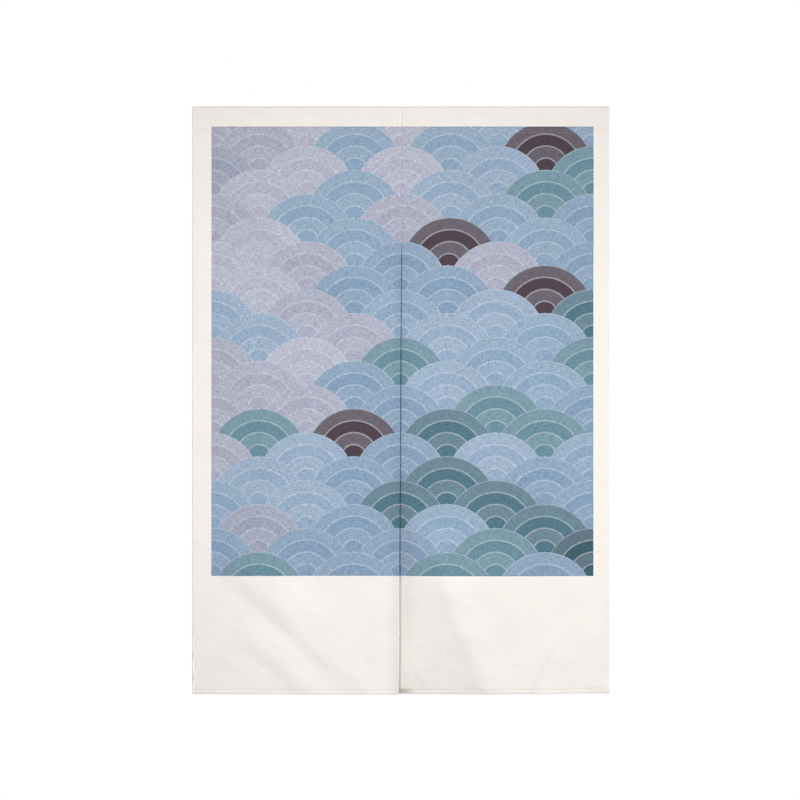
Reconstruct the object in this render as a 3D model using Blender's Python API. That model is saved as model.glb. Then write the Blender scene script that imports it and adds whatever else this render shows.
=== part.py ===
"""A noren: a split doorway curtain, 850 mm wide with a 1200 mm drop, hanging as it does from a slim rod.

It is two panels of cloth. Each panel's top is turned down to the back, where it makes half of the rod
pocket, and the panels are sewn together over the top 262 mm and hang free below. The origin is the middle
of the top edge, +X runs across the front from left to right, -Y faces the viewer and +Z is up.
Depths are measured down from the top edge, so a point's Z is minus its depth.
"""

from collections import namedtuple

import bpy
import numpy as np

# Driving dimensions, in metres.
WIDTH = 0.850
DROP = 1.200
CLOTH = 0.0012
HEM = 0.010
HEM_EXTRA = 0.0010
HEM_STEP = 0.0004
GAP = 0.0003
FRONT = -CLOTH

# The rod pocket: its outer radius over the rod, its upper stitch row and the foot of its turned-down hem.
POCKET_RADIUS = 0.008
POCKET_DEPTH = 0.049
HEADING_FOOT = 0.057

# The seam that joins the panels, and the slit below it. The right panel's edge tucks behind the left's.
SEAM_X = 0.0027
SLIT_TOP = 0.262
SLIT_FOOT_X = -0.0006
SLIT_PART = 0.045
TUCK_WIDTH = 0.004
TUCK_BACK = 0.0042
TUCK_RUN = 0.080
TUCK_FLAT = 0.006
TUCK_EASE = 0.036
ROLL_BACK = 0.0012
ROLL_WIDTH = 0.014

# The relief of the hanging cloth grows from nothing at the heading over this depth.
RELIEF_RUN = 0.180

LEFT, RIGHT = -1, 1

# A soft fold runs along a curve through three places, each (across, depth). Its ridge stands forward by rise
# (a trough has a negative rise), and its two flanks reach this far to the curve's left and to its right,
# looking down the curve.
Fold = namedtuple("Fold", "name side start bend end rise reach_left reach_right")
FOLDS = (
    Fold("upper sweep", LEFT, (-0.372, 0.945), (-0.222, 1.025), (-0.090, 1.225), 0.0046, 0.075, 0.026),
    Fold("lower sweep", LEFT, (-0.345, 1.065), (-0.262, 1.113), (-0.163, 1.225), 0.0038, 0.045, 0.022),
    Fold("hem ripple", LEFT, (-0.120, 1.150), (-0.085, 1.165), (-0.045, 1.225), 0.0014, 0.030, 0.018),
    Fold("shoulder drag left", LEFT, (-0.345, 0.130), (-0.300, 0.230), (-0.215, 0.310), 0.0022, 0.045, 0.030),
    Fold("belly", RIGHT, (0.046, 0.810), (0.086, 1.010), (0.182, 1.230), 0.0058, 0.140, 0.050),
    Fold("side sweep", RIGHT, (0.430, 0.965), (0.340, 1.020), (0.238, 1.225), 0.0038, 0.026, 0.090),
    Fold("shoulder drag right", RIGHT, (0.395, 0.090), (0.350, 0.150), (0.262, 0.220), 0.0022, 0.030, 0.045),
)

# Broad, slow waves of each panel: where the wave's crest lies, how wide it is from crest to trough, and how
# far forward it stands at the foot.
Wave = namedtuple("Wave", "side crest half_length rise")
WAVES = (
    Wave(LEFT, -0.300, 0.150, 0.0030),
    Wave(RIGHT, 0.250, 0.170, 0.0034),
)

# Corners of the foot that curl: where, how far the curl reaches, and how far back (or forward) it goes.
Curl = namedtuple("Curl", "side across reach back")
CURLS = (
    Curl(LEFT, -0.425, 0.060, 0.0050),
    Curl(RIGHT, 0.000, 0.050, 0.0050),
    Curl(RIGHT, 0.425, 0.045, -0.0045),
)

# The foot isn't quite level: how far it is lifted above the full drop at places across.
FOOT_LIFT = ((-0.425, 0.0010), (-0.200, 0.0003), (0.000, 0.0000), (0.120, 0.0000), (0.300, 0.0012), (0.425, 0.0030))

# Dents in the pocket's front above the rod line: place across, half width and depth.
Dent = namedtuple("Dent", "across half_width depth")
DENTS = (
    Dent(-0.395, 0.020, 0.0007),
    Dent(-0.300, 0.026, 0.0009),
    Dent(-0.188, 0.022, 0.0006),
    Dent(-0.065, 0.024, 0.0008),
    Dent(0.163, 0.026, 0.0009),
    Dent(0.276, 0.020, 0.0006),
    Dent(0.386, 0.018, 0.0007),
)
DENT_TOP = 0.004
DENT_FOOT = 0.034

# The mesh: columns are counted from the slit edge outwards, rows from the heading to the foot.
SLIT_COLUMNS = (0.0, 0.004, HEM, HEM + HEM_STEP, 0.018, 0.030, 0.044)
OUTER_COLUMNS = (HEM + HEM_STEP, HEM)
MIDDLE_COLUMN_STEP = 0.0145
UPPER_ROW_STEP = 0.044
FOLDED_ROW_STEP = 0.0125
FOLDED_FROM = 0.860
ARC_STEPS = 8
WALL_STEPS = 4
STATION_STEP = 0.070
CURVE_POINTS = 33


def smooth(t):
    """0 to 1 with level ends, as t goes from 0 to 1."""
    t = np.clip(t, 0.0, 1.0)
    return t * t * (3.0 - 2.0 * t)


def bump(t):
    """1 at t = 0, falling smoothly to 0 at t = 1 and beyond."""
    return np.cos(0.5 * np.pi * np.clip(np.abs(t), 0.0, 1.0)) ** 2


def slit_line(depth):
    """Where the seam and the slit lie across: straight down the seam, then drifting to the foot."""
    share = np.clip((depth - SLIT_TOP) / (DROP - SLIT_TOP), 0.0, 1.0)
    return SEAM_X + (SLIT_FOOT_X - SEAM_X) * share


def inner_edge(side, depth):
    """A panel's edge at the seam and slit. The right one slips behind the left once the two have parted."""
    if side == LEFT:
        return slit_line(depth) - GAP / 2
    tuck = smooth((depth - SLIT_TOP - SLIT_PART) / TUCK_RUN)
    return slit_line(depth) + GAP / 2 - TUCK_WIDTH * tuck


def foot_depth(across):
    """How deep the foot of the cloth hangs."""
    places, lifts = zip(*FOOT_LIFT)
    return DROP - np.interp(across, places, lifts)


def curve_points(fold):
    """Points down a fold's curve, a quadratic Bezier that bends towards its middle place."""
    t = np.linspace(0.0, 1.0, CURVE_POINTS)[:, None]
    start, bend, end = (np.array(p) for p in (fold.start, fold.bend, fold.end))
    return (1 - t) ** 2 * start + 2 * t * (1 - t) * bend + t**2 * end


def fold_forward(fold, across, depth):
    """How far a fold brings the cloth forward at a place, fading in along its first third."""
    line = curve_points(fold)
    step = line[1:] - line[:-1]
    away = np.stack([across, depth], axis=-1)[..., None, :] - line[:-1]
    share = np.clip((away * step).sum(-1) / (step * step).sum(-1), 0.0, 1.0)
    offset = away - share[..., None] * step
    distance = np.linalg.norm(offset, axis=-1)
    nearest = distance.argmin(-1)[..., None]
    distance = np.take_along_axis(distance, nearest, -1)[..., 0]
    turn = step[:, 0] * away[..., 1] - step[:, 1] * away[..., 0]
    is_right = np.take_along_axis(turn, nearest, -1)[..., 0] > 0
    along = (nearest[..., 0] + np.take_along_axis(share, nearest, -1)[..., 0]) / len(step)
    reach = np.where(is_right, fold.reach_right, fold.reach_left)
    return fold.rise * bump(distance / reach) * smooth(along / 0.33)


def wave_forward(wave, across, depth):
    """A broad wave that swells towards the foot."""
    swell = smooth((depth - HEADING_FOOT) / (DROP - HEADING_FOOT))
    return wave.rise * swell * bump((across - wave.crest) / wave.half_length)


def curl_back(curl, across, depth):
    """A corner of the foot that turns away, or forward where its value is negative."""
    distance = np.hypot(across - curl.across, depth - foot_depth(across))
    return curl.back * bump(distance / curl.reach)


def relief(side, across, depth, from_slit):
    """The Y of a panel's front face."""
    forward = sum(fold_forward(f, across, depth) for f in FOLDS if f.side == side)
    forward = forward + sum(wave_forward(w, across, depth) for w in WAVES if w.side == side)
    back = sum(curl_back(c, across, depth) for c in CURLS if c.side == side)
    parted = smooth((depth - SLIT_TOP) / SLIT_PART)
    if side == LEFT:
        back = back + ROLL_BACK * parted * np.clip(1 - from_slit / ROLL_WIDTH, 0, 1) ** 2
        near_slit = 1.0
    else:
        back = back + TUCK_BACK * parted * bump((from_slit - TUCK_FLAT).clip(0) / TUCK_EASE)
        near_slit = smooth(from_slit / TUCK_EASE)
    grown = smooth((depth - HEADING_FOOT) / RELIEF_RUN)
    return FRONT - forward * grown * near_slit + back


def panel_columns():
    """Distances from the slit edge, close together at the hems."""
    width = WIDTH / 2
    first, last = SLIT_COLUMNS[-1], width - OUTER_COLUMNS[0]
    count = round((last - first) / MIDDLE_COLUMN_STEP)
    middle = np.linspace(first, last, count + 1)[1:-1]
    outer = [width - c for c in OUTER_COLUMNS] + [width]
    return np.array([*SLIT_COLUMNS, *middle, *outer])


def panel_rows():
    """Shares of the way from the heading to the foot, closer together where the cloth folds."""
    top, foot = HEADING_FOOT + GAP, DROP
    upper = np.linspace(top, FOLDED_FROM, round((FOLDED_FROM - top) / UPPER_ROW_STEP) + 1)
    hem = foot - HEM - HEM_STEP
    folded = np.linspace(FOLDED_FROM, hem, round((hem - FOLDED_FROM) / FOLDED_ROW_STEP) + 1)
    depths = np.array([*upper, *folded[1:], foot - HEM, foot])
    return (depths - top) / (foot - top)


def grid_faces(rows, columns, first, turned):
    """Quads over a grid of points, numbered row by row from first."""
    faces = []
    for r in range(rows - 1):
        for c in range(columns - 1):
            a = first + r * columns + c
            quad = (a, a + 1, a + columns + 1, a + columns)
            faces.append(quad[::-1] if turned else quad)
    return faces


def rim_faces(rows, columns, turned):
    """Quads that join the rims of two equal grids, one after the other."""
    other = rows * columns
    top = list(range(columns))
    right = [r * columns + columns - 1 for r in range(1, rows)]
    foot = [(rows - 1) * columns + c for c in range(columns - 2, -1, -1)]
    left = [r * columns for r in range(rows - 2, 0, -1)]
    rim = top + right + foot + left
    pairs = zip(rim, rim[1:] + rim[:1])
    quads = [(b, a, a + other, b + other) for a, b in pairs]
    return [q[::-1] for q in quads] if turned else quads


def add_part(name, points, faces, material, crease_angle=0.6):
    """An object of these points and faces, smooth but for its sharp edges."""
    mesh = bpy.data.meshes.new(name)
    mesh.from_pydata([tuple(float(v) for v in p) for p in points], [], faces)
    mesh.shade_smooth()
    mesh.set_sharp_from_angle(angle=crease_angle)
    mesh.materials.append(material)
    mesh.update()
    part = bpy.data.objects.new(name, mesh)
    bpy.context.scene.collection.objects.link(part)
    return part


def make_panel(name, side, material):
    """One hanging panel: a front face with the folds, and a back face that is thicker along the hems."""
    columns, rows = panel_columns(), panel_rows()
    from_slit, share = np.meshgrid(columns, rows)
    depth = HEADING_FOOT + GAP + share * (DROP - HEADING_FOOT - GAP)
    outer = side * WIDTH / 2
    inner = inner_edge(side, depth)
    across = inner + (outer - inner) * from_slit / (WIDTH / 2)
    depth = HEADING_FOOT + GAP + share * (foot_depth(across) - HEADING_FOOT - GAP)
    front = relief(side, across, depth, from_slit)
    at_side = (from_slit <= HEM) | (from_slit >= WIDTH / 2 - HEM)
    at_foot = share > share[-2, 0] - HEM_STEP / 2
    back = front + CLOTH + HEM_EXTRA * (at_side | at_foot)
    faces_of = [np.stack([across, y, -depth], axis=-1).reshape(-1, 3) for y in (front, back)]
    size = (len(rows), len(columns))
    turned = side == LEFT
    faces = grid_faces(*size, 0, not turned)
    faces += grid_faces(*size, size[0] * size[1], turned)
    faces += rim_faces(*size, not turned)
    return add_part(name, np.concatenate(faces_of), faces, material)


def pocket_half_outline(radius, wall_foot, half_foot):
    """Half of the pocket's section from its top to its foot, as (half width, depth): an arc, then a wall."""
    angles = np.linspace(0.0, 0.5 * np.pi, ARC_STEPS // 2 + 1)
    arc = [(radius * np.sin(a), POCKET_RADIUS - radius * np.cos(a)) for a in angles]
    share = np.linspace(0.0, 1.0, WALL_STEPS + 1)[1:]
    wall = [(radius + (half_foot - radius) * s, POCKET_RADIUS + (wall_foot - POCKET_RADIUS) * s) for s in share]
    return arc + wall


def dent_back(across, depth):
    """How far the pocket's front wall is dented at a place."""
    height = bump((depth - (DENT_TOP + DENT_FOOT) / 2) / ((DENT_FOOT - DENT_TOP) / 2))
    return height * sum(d.depth * bump((across - d.across) / d.half_width) for d in DENTS)


def pocket_section(across):
    """The closed outline of the cloth over the rod at a place across: outer points, inner points, foot points."""
    inner_foot = POCKET_DEPTH - CLOTH
    rings = []
    for outline in (
        pocket_half_outline(POCKET_RADIUS, POCKET_DEPTH, CLOTH),
        pocket_half_outline(POCKET_RADIUS - CLOTH, inner_foot, 0.0),
    ):
        front = [(-y + dent_back(across, d), d) for y, d in outline]
        back = [(y, d) for y, d in outline[1:]]
        rings.append(front[::-1] + back)
    rings[1].pop()
    foot = [(CLOTH, HEADING_FOOT), (-CLOTH, HEADING_FOOT)]
    return rings[0], rings[1], foot


def stations(side):
    """Places across, from the seam outwards, at which the pocket's section is set."""
    inner, outer = inner_edge(side, 0.0), side * WIDTH / 2
    places = {float(inner), float(outer)}
    for dent in DENTS:
        if dent.across * side > 0:
            places |= {dent.across - dent.half_width, dent.across, dent.across + dent.half_width}
    ordered = sorted(places, key=lambda x: x * side)
    filled = [ordered[0]]
    for place in ordered[1:]:
        count = int(abs(place - filled[-1]) // STATION_STEP) + 1
        filled += list(np.linspace(filled[-1], place, count + 1)[1:])
    return [x for x in filled if abs(x) <= WIDTH / 2]


def make_heading(name, side, material):
    """Half of the rod pocket: the panel's top, over the rod and sewn to itself at the back."""
    places = stations(side)
    points = []
    for x in places:
        outer, inner, foot = pocket_section(x)
        points += [(x, y, -d) for y, d in outer + inner + foot]
    outer_count, inner_count = len(outer), len(inner)
    per_station = len(points) // len(places)
    outside = list(range(outer_count)) + [outer_count + inner_count, outer_count + inner_count + 1]
    inside = list(range(outer_count, outer_count + inner_count))
    faces = []
    for s in range(len(places) - 1):
        here, there = s * per_station, (s + 1) * per_station
        for a, b in zip(outside, outside[1:] + outside[:1]):
            faces.append((here + a, here + b, there + b, there + a))
        for a, b in zip(inside, inside[1:] + inside[:1]):
            faces.append((here + b, here + a, there + a, there + b))
    for station, turned in ((0, True), (len(places) - 1, False)):
        start = station * per_station
        inner_loop = inside + inside[:1]
        caps = [(a, a + 1, inner_loop[a + 1], inner_loop[a]) for a in range(outer_count - 1)]
        caps.append((outer_count - 1, outside[-2], outside[-1], 0, inside[0]))
        faces += [tuple(start + v for v in (c[::-1] if turned else c)) for c in caps]
    if side == RIGHT:
        faces = [f[::-1] for f in faces]
    return add_part(name, points, faces, material)


def cloth_material(name, colour, roughness):
    """A matt woven cloth."""
    material = bpy.data.materials.new(name)
    material.use_nodes = True
    shader = material.node_tree.nodes["Principled BSDF"]
    shader.inputs["Base Color"].default_value = (*colour, 1.0)
    shader.inputs["Roughness"].default_value = roughness
    shader.inputs["Metallic"].default_value = 0.0
    return material


def main():
    for old in list(bpy.data.objects):
        bpy.data.objects.remove(old)
    natural = cloth_material("natural_cloth", (0.87, 0.83, 0.79), 0.9)
    printed = cloth_material("printed_cloth", (0.33, 0.42, 0.54), 0.85)
    for word, side in (("left", LEFT), ("right", RIGHT)):
        make_heading(f"{word}_heading", side, natural)
        make_panel(f"{word}_panel", side, printed)


main()
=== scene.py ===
# %% [markdown]
# # Dressing a noren
#
# A noren is a split curtain that hangs in a doorway. Two panels of cloth are sewn together at the top and
# hang free below, so that people can walk through. A pocket across the top takes the rod.
#
# The frame that is loaded here holds the curtain's plain solids, which MuJoCo uses for collision. This
# lesson makes the cloth that is seen in their place: thinner, with real hems, stitches, weave and print.
# Everything is in metres. The origin is the middle of the top edge, and -Y faces the viewer.

import bpy
import numpy as np
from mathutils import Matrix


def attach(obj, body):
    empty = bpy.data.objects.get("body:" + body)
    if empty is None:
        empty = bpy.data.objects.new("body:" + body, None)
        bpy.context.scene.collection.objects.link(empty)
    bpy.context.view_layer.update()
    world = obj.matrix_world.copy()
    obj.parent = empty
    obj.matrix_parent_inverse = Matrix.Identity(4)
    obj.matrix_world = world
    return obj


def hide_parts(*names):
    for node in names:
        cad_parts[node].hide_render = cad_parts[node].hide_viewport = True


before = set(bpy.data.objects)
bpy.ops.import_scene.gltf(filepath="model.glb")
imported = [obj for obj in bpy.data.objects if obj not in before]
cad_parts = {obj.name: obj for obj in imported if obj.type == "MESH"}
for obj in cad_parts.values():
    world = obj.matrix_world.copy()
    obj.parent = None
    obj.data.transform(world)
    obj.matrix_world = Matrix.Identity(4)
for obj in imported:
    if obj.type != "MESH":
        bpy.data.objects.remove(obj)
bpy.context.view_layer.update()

print("nodes:", sorted(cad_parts))

# %% [markdown]
# ## The camera and the light
#
# The photograph looks straight at the curtain against white. A long lens from a few metres off keeps the
# edges parallel. The frame is 1.633 m wide where the cloth hangs, because the cloth fills 52 percent of it.

# %% Camera
FRAME_WIDTH = 1.633
EYE_ACROSS = -0.0015
EYE_HEIGHT = -0.5995
LENS = 100
SENSOR = 36
camera_distance = FRAME_WIDTH / SENSOR * LENS

camera_place = (EYE_ACROSS, -camera_distance, EYE_HEIGHT)
bpy.ops.object.camera_add(location=camera_place, rotation=(np.pi / 2, 0, 0))
camera = bpy.context.object
camera.name = "camera"
camera.data.lens = LENS
camera.data.sensor_width = SENSOR
camera.data.dof.use_dof = False
bpy.context.scene.camera = camera
bpy.context.scene.view_settings.view_transform = "Standard"
print(f"camera {camera_distance:.2f} m in front of the curtain")

# %% [markdown]
# A cloth's low folds show only where the light rakes across them. A soft lamp at the upper right does that.
# It looks past the curtain's far lower corner and spreads little, so the whole cloth gets about as much of
# it. A wider lamp straight in front evens it out, brightest above the middle, as in the photograph. Two
# lamps behind light the top of the pocket and the wrong side.
# The camera sees pure white behind the curtain, while the cloth gets a dim share of the same room.

# %% Lamps, room and floor
FLOOR_HEIGHT = -2.000
FLOOR_RADIUS = 2.6
ROOM_LIGHT = 0.198
KEY_LIGHT = 26.6
FRONT_LIGHT = 14.0
BACK_LIGHT = 40
BEHIND_LIGHT = 34
KEY_SPREAD = 1.35


def soft_lamp(name, place, aim, size, power, spread=np.pi):
    """A square lamp at a place, turned to face a point."""
    bpy.ops.object.light_add(type="AREA", location=place)
    lamp = bpy.context.object
    lamp.name = name
    lamp.data.size = size
    lamp.data.energy = power
    lamp.data.spread = spread
    away = lamp.location - type(lamp.location)(aim)
    lamp.rotation_euler = away.to_track_quat("Z", "Y").to_euler()
    return lamp


soft_lamp("key", (2.44, -2.74, 0.49), (-1.54, 0.0, -2.11), 0.44, KEY_LIGHT, KEY_SPREAD)
soft_lamp("front", (-0.14, -1.74, -0.30), (-0.07, 0.0, -0.30), 0.90, FRONT_LIGHT)
soft_lamp("back", (0.60, 1.60, 2.20), (0.0, 0.0, -0.30), 1.2, BACK_LIGHT)
soft_lamp("behind", (1.50, 2.60, -0.20), (0.0, 0.0, -0.70), 1.2, BEHIND_LIGHT)

room = bpy.data.worlds.new("white_room")
bpy.context.scene.world = room
room.use_nodes = True
room_nodes = room.node_tree.nodes
seen = room_nodes["Background"]
seen.inputs["Color"].default_value = (1, 1, 1, 1)
felt = room_nodes.new("ShaderNodeBackground")
felt.inputs["Color"].default_value = (1, 1, 1, 1)
felt.inputs["Strength"].default_value = ROOM_LIGHT
ray = room_nodes.new("ShaderNodeLightPath")
either = room_nodes.new("ShaderNodeMixShader")
room.node_tree.links.new(ray.outputs["Is Camera Ray"], either.inputs[0])
room.node_tree.links.new(felt.outputs[0], either.inputs[1])
room.node_tree.links.new(seen.outputs[0], either.inputs[2])
room.node_tree.links.new(either.outputs[0], room_nodes["World Output"].inputs["Surface"])

floor_place = (0, 0, FLOOR_HEIGHT)
bpy.ops.mesh.primitive_circle_add(vertices=128, radius=FLOOR_RADIUS, fill_type="NGON", location=floor_place)
floor = bpy.context.object
floor.name = "floor"
floor_paint = bpy.data.materials.new("grey_floor")
floor_paint.use_nodes = True
floor_paint.node_tree.nodes["Principled BSDF"].inputs["Base Color"].default_value = (0.13, 0.13, 0.13, 1)
floor_paint.node_tree.nodes["Principled BSDF"].inputs["Roughness"].default_value = 0.8
floor.data.materials.append(floor_paint)
print("floor at", FLOOR_HEIGHT, "m, as far below as a doorway's is")

# %% [markdown]
# ## How the cloth hangs
#
# Width and drop are the solids' own. Depths are measured down from the top edge. The cloth here is 0.5 mm
# thick, as a real noren's. A turned hem lies one layer step behind the face, and a little more at its fold.

# %% Sizes
WIDTH = 0.850
DROP = 1.200
FRONT = -0.0012
CLOTH = 0.0005
LAYER = 0.0006
FOLD_FULLNESS = 0.0012
FULLNESS_RUN = 0.006
HEM = 0.010
GAP = 0.0003

POCKET_RADIUS = 0.0070
POCKET_DEPTH = 0.049
HEADING_FOOT = 0.057
HEADING_HALF = 0.0012

SEAM_X = 0.0006
SLIT_TOP = 0.262
SLIT_FOOT_X = -0.0045
SLIT_PART = 0.070
TUCK_WIDTH = 0.0065
TUCK_RUN = 0.080
TUCK_EASE = 0.052
EASE_WIDTH = 0.030
SLIT_OPENING = 0.0050
SLIT_WALL = 0.0056
OPENS_FROM = 0.900
OPENS_RUN = 0.110
TOP_NARROWER = 0.42
HOLLOW = 0.0106
HOLLOW_END = 0.0048
END_FORWARD = 0.0026
END_WIDTH = 0.0030
CLOSES_FROM = 0.380
CLOSES_RUN = 0.250
EDGE_BACK = 0.0036
EDGE_LIFT = 0.0030
LIFT_WIDTH = 0.024
RELIEF_RUN = 0.180
LIFT_FROM = 0.940

LEFT, RIGHT = -1, 1


def smooth(t):
    """0 to 1 with level ends, as t goes from 0 to 1."""
    t = np.clip(t, 0.0, 1.0)
    return t * t * (3.0 - 2.0 * t)


def bump(t):
    """1 at t = 0, falling smoothly to 0 at t = 1 and beyond."""
    return np.cos(0.5 * np.pi * np.clip(np.abs(t), 0.0, 1.0)) ** 2


def panel_width(side):
    """A panel's width at the seam, which lies a little right of the middle."""
    return WIDTH / 2 - side * SEAM_X


print("panels", [round(panel_width(side) * 1000, 1) for side in (LEFT, RIGHT)], "mm wide")

# %% [markdown]
# The seam runs straight down. Below it the left panel's edge curls forward a little, and the right one's
# slips behind it by a few millimetres, which is why the slit reads as one thin dark line and never as a gap.
# The foot isn't quite level: cloth stretches as it hangs.

# %% Slit and foot
FOOT_LIFT = (
    # place across, how far the foot is lifted there
    (-0.425, 0.0010),
    (-0.200, 0.0003),
    (0.000, 0.0000),
    (0.050, 0.0004),
    (0.120, 0.0014),
    (0.220, 0.0026),
    (0.320, 0.0032),
    (0.425, 0.0034),
)


def slit_line(depth):
    """Where the seam and the slit lie across."""
    share = np.clip((depth - SLIT_TOP) / (DROP - SLIT_TOP), 0.0, 1.0)
    return SEAM_X + (SLIT_FOOT_X - SEAM_X) * share


def inner_edge(side, depth):
    """A panel's edge at the seam and slit."""
    if side == LEFT:
        return slit_line(depth) - GAP / 2
    return slit_line(depth) + GAP / 2 - tuck(depth)


def tuck(depth):
    """How far the right panel's edge has slipped behind the left panel's."""
    return TUCK_WIDTH * smooth((depth - SLIT_TOP) / TUCK_RUN)


def foot_depth(across):
    """How deep the foot of the cloth hangs."""
    places, lifts = zip(*FOOT_LIFT)
    return DROP - np.interp(across, places, lifts)


print("slit from", SLIT_TOP, "to", DROP, "m")

# %% [markdown]
# Long soft folds sweep in from the free corners towards the slit, where the cloth's weight pulls hardest.
# Each is a ridge along a curve, steeper on one flank, and its height varies a little along the way, as no
# cloth folds evenly. Broad waves and curled corners come on top. The solids have the same folds, plainer.

# %% Folds
FOLDS = {
    LEFT: (
        # start, bend and end as (across, depth), rise, reach on the left and on the right of someone who
        # walks from start to end with the curtain's face underfoot, share lost at the end, crispness of crest
        ((-0.400, 0.905), (-0.235, 1.005), (-0.068, 1.225), 0.0034, 0.105, 0.040, 0.6, 0.0),
        ((-0.345, 1.065), (-0.262, 1.113), (-0.150, 1.225), 0.0022, 0.060, 0.034, 0.0, 0.0),
        ((-0.120, 1.150), (-0.085, 1.165), (-0.045, 1.225), 0.0009, 0.045, 0.022, 0.0, 0.0),
        ((-0.345, 0.130), (-0.300, 0.230), (-0.215, 0.310), 0.0022, 0.045, 0.030, 0.3, 0.0),
    ),
    RIGHT: (
        ((0.040, 0.790), (0.080, 1.000), (0.200, 1.230), 0.0120, 0.420, 0.118, 0.0, 1.0),
        ((0.545, 0.945), (0.325, 1.025), (0.268, 1.225), 0.0034, 0.090, 0.020, 0.0, 0.0),
        ((0.395, 0.090), (0.350, 0.150), (0.262, 0.220), 0.0022, 0.030, 0.045, 0.3, 0.0),
    ),
}
# crest across, half its length, and rise at the foot
WAVES = {LEFT: ((-0.300, 0.150, 0.0022),), RIGHT: ((0.280, 0.200, 0.0050),)}
# place along the foot, reach, and how far back it curls
CURLS = {LEFT: ((-0.425, 0.060, 0.0010),), RIGHT: ((0.010, 0.060, 0.0040), (0.425, 0.045, -0.0045))}
CURVE_POINTS = 33
CREST_ROUNDING = 0.010
LUMPS = 0.14
FADE_IN = 0.33
CRISP_POWER = 1.35


def fold_forward(fold, across, depth):
    """How far one fold brings the cloth forward, fading in along its first third."""
    start, bend, end, rise, reach_left, reach_right, lost, crispness = fold
    t = np.linspace(0.0, 1.0, CURVE_POINTS)[:, None]
    line = (1 - t) ** 2 * np.array(start) + 2 * t * (1 - t) * np.array(bend) + t**2 * np.array(end)
    step = line[1:] - line[:-1]
    away = np.stack([across, depth], axis=-1)[..., None, :] - line[:-1]
    share = np.clip((away * step).sum(-1) / (step * step).sum(-1), 0.0, 1.0)
    distance = np.linalg.norm(away - share[..., None] * step, axis=-1)
    nearest = distance.argmin(-1)[..., None]
    distance = np.take_along_axis(distance, nearest, -1)[..., 0]
    turn = step[:, 0] * away[..., 1] - step[:, 1] * away[..., 0]
    is_right = np.take_along_axis(turn, nearest, -1)[..., 0] > 0
    along = (nearest[..., 0] + np.take_along_axis(share, nearest, -1)[..., 0]) / len(step)
    reach = np.where(is_right, reach_right, reach_left)
    lumps = 1 + LUMPS * np.sin(21 * along + 90 * rise) * np.sin(8.3 * along + 1)
    fade = smooth(along / FADE_IN) * (1 - lost * smooth((along - 0.5) / 0.4))
    from_crest = np.sqrt(distance**2 + CREST_ROUNDING**2) - CREST_ROUNDING
    crisp = np.clip(1 - from_crest / reach, 0, 1) ** CRISP_POWER
    return rise * lumps * fade * (bump(distance / reach) * (1 - crispness) + crisp * crispness)


print("folds:", {side: len(folds) for side, folds in FOLDS.items()})

# %% [markdown]
# No real cloth is as smooth as a formula. A few dozen faint ripples in all directions, added together,
# give the small unevenness that breaks up the light. The seed is fixed, so each run gives the same cloth.

# %% Small unevenness
def unevenness(across, depth, length, seed, waves=14):
    """Ripples of about one length in every direction, between about -1 and 1."""
    chance = np.random.default_rng(seed)
    total = np.zeros(np.broadcast(across, depth).shape)
    for _ in range(waves):
        angle, phase = chance.uniform(0, np.pi), chance.uniform(0, 2 * np.pi)
        pitch = 2 * np.pi / (length * chance.uniform(0.65, 1.5))
        total = total + np.sin(pitch * (across * np.cos(angle) + depth * np.sin(angle)) + phase)
    return total / np.sqrt(2.5 * waves)


def puckers(across, distance, length, fade, seed):
    """Ripples across a row of stitches, which fade with distance from it."""
    ripple = unevenness(across, np.zeros_like(across), length, seed)
    return ripple * np.exp(-np.clip(distance, 0, None) / fade)


sample = unevenness(np.linspace(-0.4, 0.4, 400), np.linspace(0, 1, 400), 0.08, 3)
print("ripples from", sample.min().round(2), "to", sample.max().round(2))

# %% [markdown]
# The face of a panel is its flat plane, less what folds and waves bring forward, plus what the slit, the
# seam and the curled corners take back. Stitches pull the cloth in, so a shallow groove runs along them.

# %% The face of a panel
STITCH_ROWS = (0.0485, 0.0535)
FOOT_STITCH = 0.0082
GROOVE = 0.00034
GROOVE_HALF = 0.0022
HEADING_GROOVE = 0.0004
HEADING_GROOVE_HALF = 0.0014
BACK_GROOVE_SHARE = 0.4
BACK_DENT_SHARE = 0.4
CORNER_SEAM_X = 0.396
CORNER_SEAM_RUN = 0.0185
CORNER_SEAM_RISE = 0.016
HEM_TWIST = 0.00055
TWIST_WIDTH = 0.0075
TWIST_LENGTH = 0.0075
TWIST_REACH = 0.012
TWIST_FROM = 1.050
TWIST_RUN = 0.060
PUCKER = 0.00012
SEAM_DIP = 0.0007
SEAM_DIP_WIDTH = 0.0045
BROAD_RIPPLE = 0.00055
SMALL_RIPPLE = 0.00016
CORNER_TURN = 0.0068
TURN_HEIGHT = 0.013
TURN_PLACE = 0.010
TURN_HALF = 0.034
FOOT_SHALLOWER = 0.35
SHALLOW_RUN = 0.020
CORNER_PULL = 2.4
CORNER_PULL_RUN = 0.006


def foot_seam(across):
    """How far above the foot its stitches run. They climb at the right corner, where the hem is askew."""
    return FOOT_STITCH + CORNER_SEAM_RISE * smooth((across - CORNER_SEAM_X) / CORNER_SEAM_RUN)


def hem_twist(across, depth):
    """The wavy edge of the left side hem near the foot, where its fold was stretched in sewing."""
    to_edge = across + WIDTH / 2
    near = bump(to_edge / TWIST_REACH) * smooth((depth - TWIST_FROM) / TWIST_RUN)
    turns = to_edge / TWIST_WIDTH + 0.25 * np.sin(depth / TWIST_LENGTH)
    return HEM_TWIST * near * np.sin(2 * np.pi * turns)


def heading_puckers(across, depth):
    """The ripples that the heading's stitches leave above and below them."""
    distance = np.maximum(STITCH_ROWS[0] - depth, depth - STITCH_ROWS[1])
    return PUCKER * puckers(across, distance, 0.012, 0.015, 31)


def seam_dip(from_seam):
    """How far the cloth sinks towards the seam."""
    return SEAM_DIP * np.clip(1 - from_seam / SEAM_DIP_WIDTH, 0, 1) ** 2


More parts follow.
